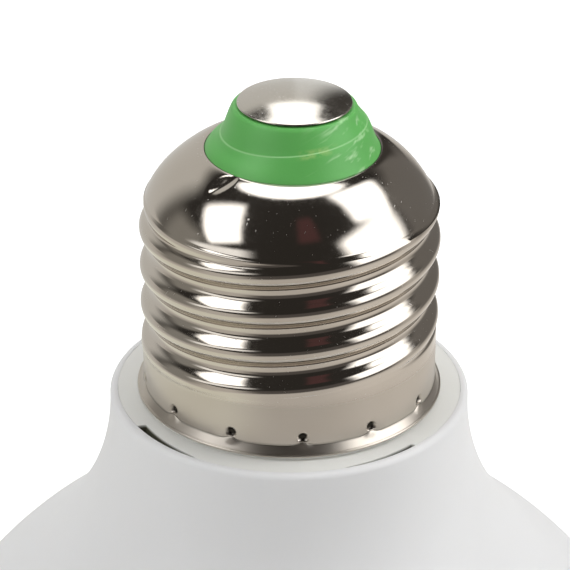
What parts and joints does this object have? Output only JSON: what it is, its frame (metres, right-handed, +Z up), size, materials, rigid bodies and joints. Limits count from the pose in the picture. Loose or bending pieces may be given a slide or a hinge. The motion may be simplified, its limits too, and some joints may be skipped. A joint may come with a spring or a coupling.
{
  "type": "rechargeable led bulb",
  "caption": "Round white LED bulb on a flared neck with a nickel screw cap, holding its driver board, heat sink, LED board and a backup cell.",
  "frame": {"origin": "tip of the centre contact, on the axis of the screw cap", "axes": "+Z up along the bulb's axis, out of the cap; the pictured side of the bulb faces -Y and +X is to the right of it"},
  "size_m": [0.0776, 0.0776, 0.1159],
  "materials": {
    "contact_nickel": "plated, lightly worn",
    "insulator_green": "moulded, slightly scuffed",
    "cap_nickel": "bright plated, satin on the skirt",
    "white_plastic": "fine satin moulding",
    "milky_plastic": "milky diffuser",
    "sink_aluminium": "pressed",
    "board_aluminium": "white solder mask",
    "led_yellow": "phosphor lens",
    "screw_steel": "zinc plated",
    "board_green": "solder mask",
    "can_dark": "sleeved can",
    "film_box": "dipped box",
    "ferrite_dark": "sintered ferrite",
    "copper_winding": "enamelled winding",
    "chip_black": "moulded epoxy",
    "resistor_grey": "coated",
    "cell_sleeve": "shrink sleeve",
    "nickel_strip": "plain strip",
    "holder_white": "moulded",
    "foam_white": "closed-cell foam",
    "bush_rubber": "moulded",
    "lead_red": "insulated lead",
    "lead_black": "insulated lead",
    "lead_white": "insulated leads"
  },
  "bodies": {
    "root": {"centre_contact": "contact_nickel", "contact_insulator": "insulator_green", "screw_shell": "cap_nickel", "cap_carrier": "white_plastic", "housing": "white_plastic", "diffuser": "milky_plastic", "heat_sink": "sink_aluminium", "led_board": "board_aluminium", "main_leds": "led_yellow", "backup_leds": "led_yellow", "board_screws": "screw_steel", "driver_board": "board_green", "mains_capacitor": "can_dark", "output_capacitor": "can_dark", "film_capacitor": "film_box", "filter_inductor": "copper_winding", "transformer_core": "ferrite_dark", "transformer_coil": "copper_winding", "bridge_rectifier": "chip_black", "control_chips": "chip_black", "fuse_resistor": "resistor_grey", "switch_transistor": "chip_black", "battery_cell": "cell_sleeve", "cell_board": "board_green", "cell_tabs": "nickel_strip", "cell_holder": "holder_white", "cell_pad": "foam_white", "lead_grommet": "bush_rubber", "live_lead": "lead_red", "neutral_lead": "lead_black", "led_leads": "lead_white", "cell_leads": "lead_white"}
  },
  "joints": []
}
